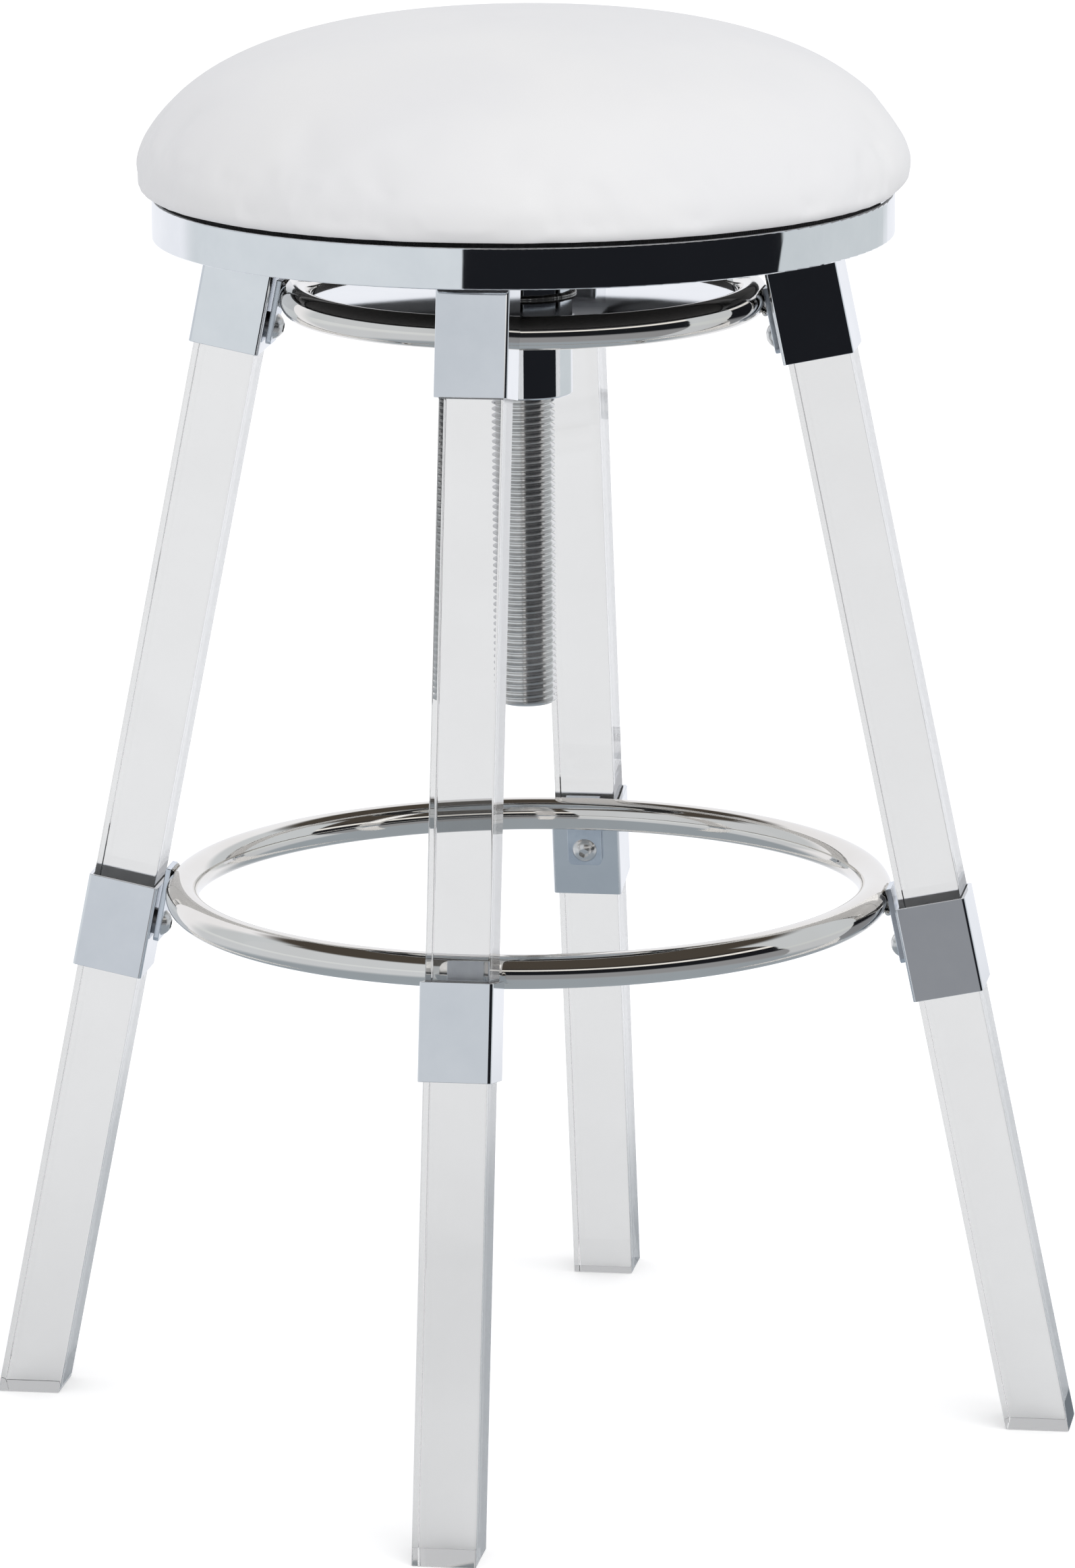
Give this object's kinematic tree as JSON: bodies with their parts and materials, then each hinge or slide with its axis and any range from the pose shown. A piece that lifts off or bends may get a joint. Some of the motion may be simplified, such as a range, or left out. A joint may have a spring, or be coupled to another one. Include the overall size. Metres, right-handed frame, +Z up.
{
  "type": "adjustable swivel stool",
  "caption": "Round padded swivel stool on a height-adjusting screw, with splayed clear square legs, chrome sleeves and a foot ring.",
  "frame": {"origin": "centre of the four feet on the floor, on the screw's axis", "axes": "+Z up along the lifting screw, front leg towards -Y, right leg towards +X"},
  "size_m": [0.587, 0.587, 0.7558],
  "materials": {
    "clear_acrylic": "clear polished acrylic",
    "chrome": "polished chrome plate",
    "plain_steel": "plain steel",
    "black_steel": "black painted steel",
    "zinc_screw": "bright zinc-plated, rolled thread",
    "nylon": "natural nylon",
    "plywood": "raw plywood",
    "black_cloth": "black non-woven cloth",
    "foam": "upholstery foam",
    "white_vinyl": "smooth white faux leather, low sheen"
  },
  "bodies": {
    "frame": {"leg_front": "clear_acrylic", "leg_right": "clear_acrylic", "leg_back": "clear_acrylic", "leg_left": "clear_acrylic", "upper_sleeve_front": "chrome", "upper_sleeve_right": "chrome", "upper_sleeve_back": "chrome", "upper_sleeve_left": "chrome", "lower_sleeve_front": "chrome", "lower_sleeve_right": "chrome", "lower_sleeve_back": "chrome", "lower_sleeve_left": "chrome", "foot_tab_front": "chrome", "foot_tab_right": "chrome", "foot_tab_back": "chrome", "foot_tab_left": "chrome", "deck_tab_front": "chrome", "deck_tab_right": "chrome", "deck_tab_back": "chrome", "deck_tab_left": "chrome", "foot_inserts": "plain_steel", "deck_inserts": "plain_steel", "foot_screws": "chrome", "deck_screws": "chrome", "foot_ring": "chrome", "foot_welds": "chrome", "deck_ring": "chrome", "deck_welds": "chrome", "deck_plate": "chrome", "hub": "chrome", "hub_weld": "chrome", "hub_nut": "plain_steel"},
    "washer": {"thrust_washer": "nylon"},
    "seat": {"lift_screw": "zinc_screw", "screw_clip": "plain_steel", "screw_plate": "plain_steel", "plate_bolts": "plain_steel", "seat_spider": "plain_steel", "seat_hoop": "chrome", "board_screws": "plain_steel", "seat_board": "plywood", "under_cloth": "black_cloth", "seat_foam": "foam", "seat_cover": "white_vinyl"}
  },
  "joints": [
    {"name": "seat_lift", "type": "slide", "parent": "frame", "child": "washer", "axis": [0, 0, 1], "range_m": [0, 0.15]},
    {"name": "seat_turn", "type": "hinge", "parent": "washer", "child": "seat", "pos_m": [0, 0, 0.6], "axis": [0, 0, 1], "range_deg": [0, 15428.5]}
  ],
  "couplings": [
    {"joint": "seat_lift", "follows": "seat_turn", "m_per_rad": 0.00055704}
  ]
}
